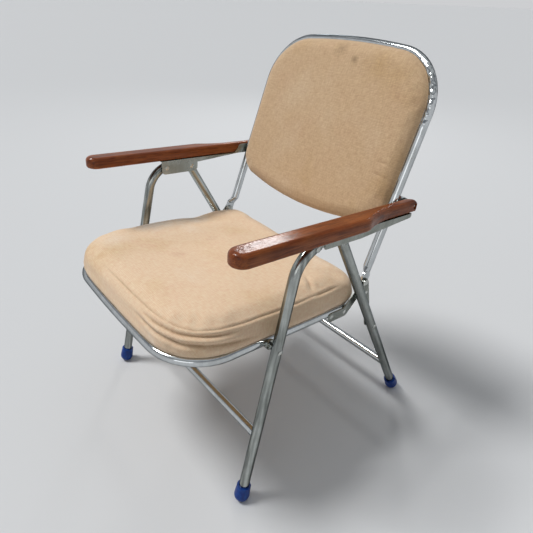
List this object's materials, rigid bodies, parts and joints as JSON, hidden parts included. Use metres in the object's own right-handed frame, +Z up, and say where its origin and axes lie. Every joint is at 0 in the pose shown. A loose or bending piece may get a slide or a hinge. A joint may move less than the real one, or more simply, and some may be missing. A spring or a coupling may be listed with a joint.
{
  "type": "folding armchair",
  "caption": "Folding armchair of bent steel tube with wooden arms, a padded cloth seat and back, and a linkage that folds the back down over the seat.",
  "frame": {"origin": "on the floor under the middle of the open chair's bounding box", "axes": "+Z up, +X to the sitter's left, -Y to the front; +Z is the longest extent and +X the shortest"},
  "size_m": [0.624, 0.6835, 0.8791],
  "materials": {
    "arm_wood": "dark reddish brown, gloss varnish",
    "chrome_tube": "bright chrome plate",
    "leg_tube": "dull zinc plate",
    "plated_sheet": "dull zinc plate",
    "fastener_steel": "bright zinc plate",
    "foot_vinyl": "moulded blue vinyl",
    "cover_cloth": "beige woven cloth, worn",
    "plywood": "raw plywood"
  },
  "bodies": {
    "arms": {"arm_left": "arm_wood", "arm_right": "arm_wood", "arm_bracket_left": "plated_sheet", "arm_bracket_right": "plated_sheet", "arm_screws": "fastener_steel", "front_leg_rivets": "fastener_steel", "rear_leg_rivets": "fastener_steel", "leg_washers": "fastener_steel", "arm_end_rivets": "fastener_steel", "arm_end_washers": "fastener_steel"},
    "back": {"back_frame": "chrome_tube", "back_board": "plywood", "back_board_screws": "fastener_steel", "back_pad": "cover_cloth", "back_clip_left": "chrome_tube", "back_clip_right": "chrome_tube"},
    "front_legs": {"front_leg_left": "leg_tube", "front_leg_right": "leg_tube", "front_crossbar": "chrome_tube", "front_foot_left": "foot_vinyl", "front_foot_right": "foot_vinyl", "seat_pivot_bolts": "fastener_steel", "seat_pivot_nuts": "fastener_steel"},
    "rear_legs": {"rear_leg_left": "leg_tube", "rear_leg_right": "leg_tube", "rear_crossbar": "chrome_tube", "rear_foot_left": "foot_vinyl", "rear_foot_right": "foot_vinyl", "link_foot_rivets": "fastener_steel"},
    "seat": {"seat_frame": "chrome_tube", "seat_board": "plywood", "seat_board_screws": "fastener_steel", "seat_cushion": "cover_cloth", "hinge_plate_left": "plated_sheet", "hinge_plate_right": "plated_sheet", "hinge_plate_rivets": "fastener_steel", "seat_lug_left": "plated_sheet", "seat_lug_right": "plated_sheet", "hinge_bolts": "fastener_steel", "hinge_nuts": "fastener_steel"},
    "links": {"link_left": "plated_sheet", "link_right": "plated_sheet", "link_top_rivets": "fastener_steel"}
  },
  "joints": [
    {"name": "back_fold", "type": "hinge", "parent": "arms", "child": "back", "pos_m": [0, 0.24, 0.5766], "axis": [1, 0, 0], "range_deg": [0, 82]},
    {"name": "front_leg_fold", "type": "hinge", "parent": "arms", "child": "front_legs", "pos_m": [0, -0.0474, 0.5653], "axis": [1, 0, 0], "range_deg": [0, 74.2]},
    {"name": "rear_leg_fold", "type": "hinge", "parent": "arms", "child": "rear_legs", "pos_m": [0, 0.0263, 0.5577], "axis": [1, 0, 0], "range_deg": [0, 30.5]},
    {"name": "seat_fold", "type": "hinge", "parent": "back", "child": "seat", "pos_m": [0, 0.1402, 0.408], "axis": [1, 0, 0], "range_deg": [-84.8, 0]},
    {"name": "link_fold", "type": "hinge", "parent": "rear_legs", "child": "links", "pos_m": [0, 0.1673, 0.2878], "axis": [1, 0, 0], "range_deg": [-105, 0]}
  ],
  "couplings": [
    {"joint": "front_leg_fold", "follows": "back_fold", "ratio": 0.90353},
    {"joint": "rear_leg_fold", "follows": "back_fold", "ratio": 0.37047},
    {"joint": "seat_fold", "follows": "back_fold", "ratio": -1.0333},
    {"joint": "link_fold", "follows": "back_fold", "ratio": -1.2796}
  ]
}
